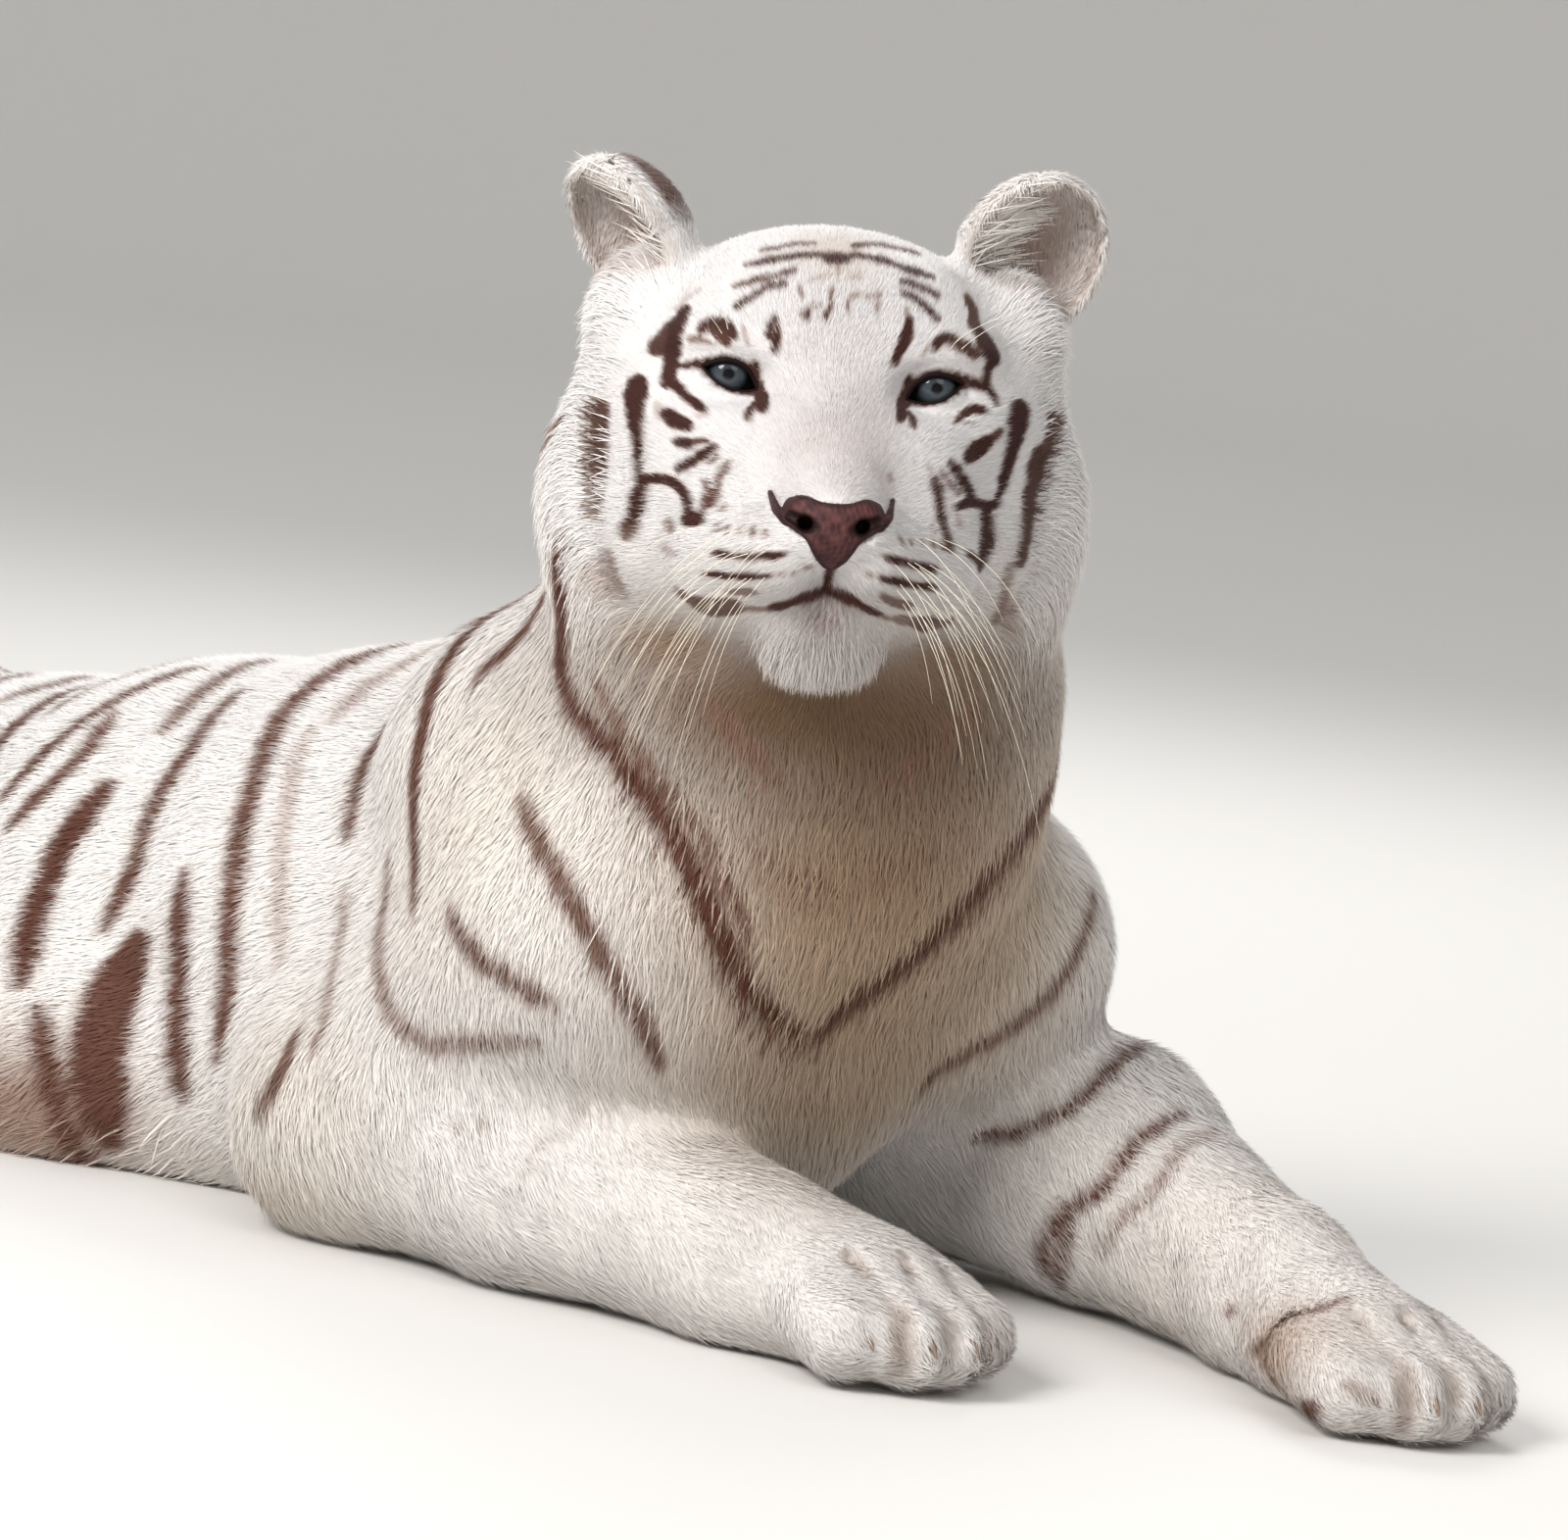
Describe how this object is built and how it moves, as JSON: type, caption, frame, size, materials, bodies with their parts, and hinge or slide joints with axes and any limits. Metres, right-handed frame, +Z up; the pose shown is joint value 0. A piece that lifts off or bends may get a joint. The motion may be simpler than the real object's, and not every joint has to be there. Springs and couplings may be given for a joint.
{
  "type": "tiger model",
  "caption": "Life-size still model of an adult white tiger lying on its breastbone, head raised and turned to its right, forelegs stretched forward, tail curved round on the floor.",
  "frame": {"origin": "on the floor under the breastbone, between the elbows, on the flat of the chest", "axes": "+Z up; -Y the way the body faces, so +Y runs back along the spine to the tail; +X the tiger's own left"},
  "size_m": [0.8709, 1.9272, 0.7434],
  "materials": {
    "coat": "short dense fur, creamy white with chocolate-brown stripes",
    "nose_leather": "satin, finely pebbled, brown-pink",
    "eye": "wet and glossy, grey-blue iris with a round pupil"
  },
  "bodies": {
    "root": {"belly": "coat", "chest": "coat", "neck": "coat", "rump": "coat", "head": "coat", "nose": "nose_leather", "ear_left": "coat", "ear_right": "coat", "eye_left": "eye", "eye_right": "eye", "upper_arm_left": "coat", "upper_arm_right": "coat", "forearm_left": "coat", "forearm_right": "coat", "forepaw_left": "coat", "forepaw_right": "coat", "thigh_left": "coat", "thigh_right": "coat", "hind_foot_left": "coat", "hind_foot_right": "coat", "hind_paw_left": "coat", "hind_paw_right": "coat", "tail_root": "coat", "tail_middle": "coat", "tail_tip": "coat"}
  },
  "joints": []
}
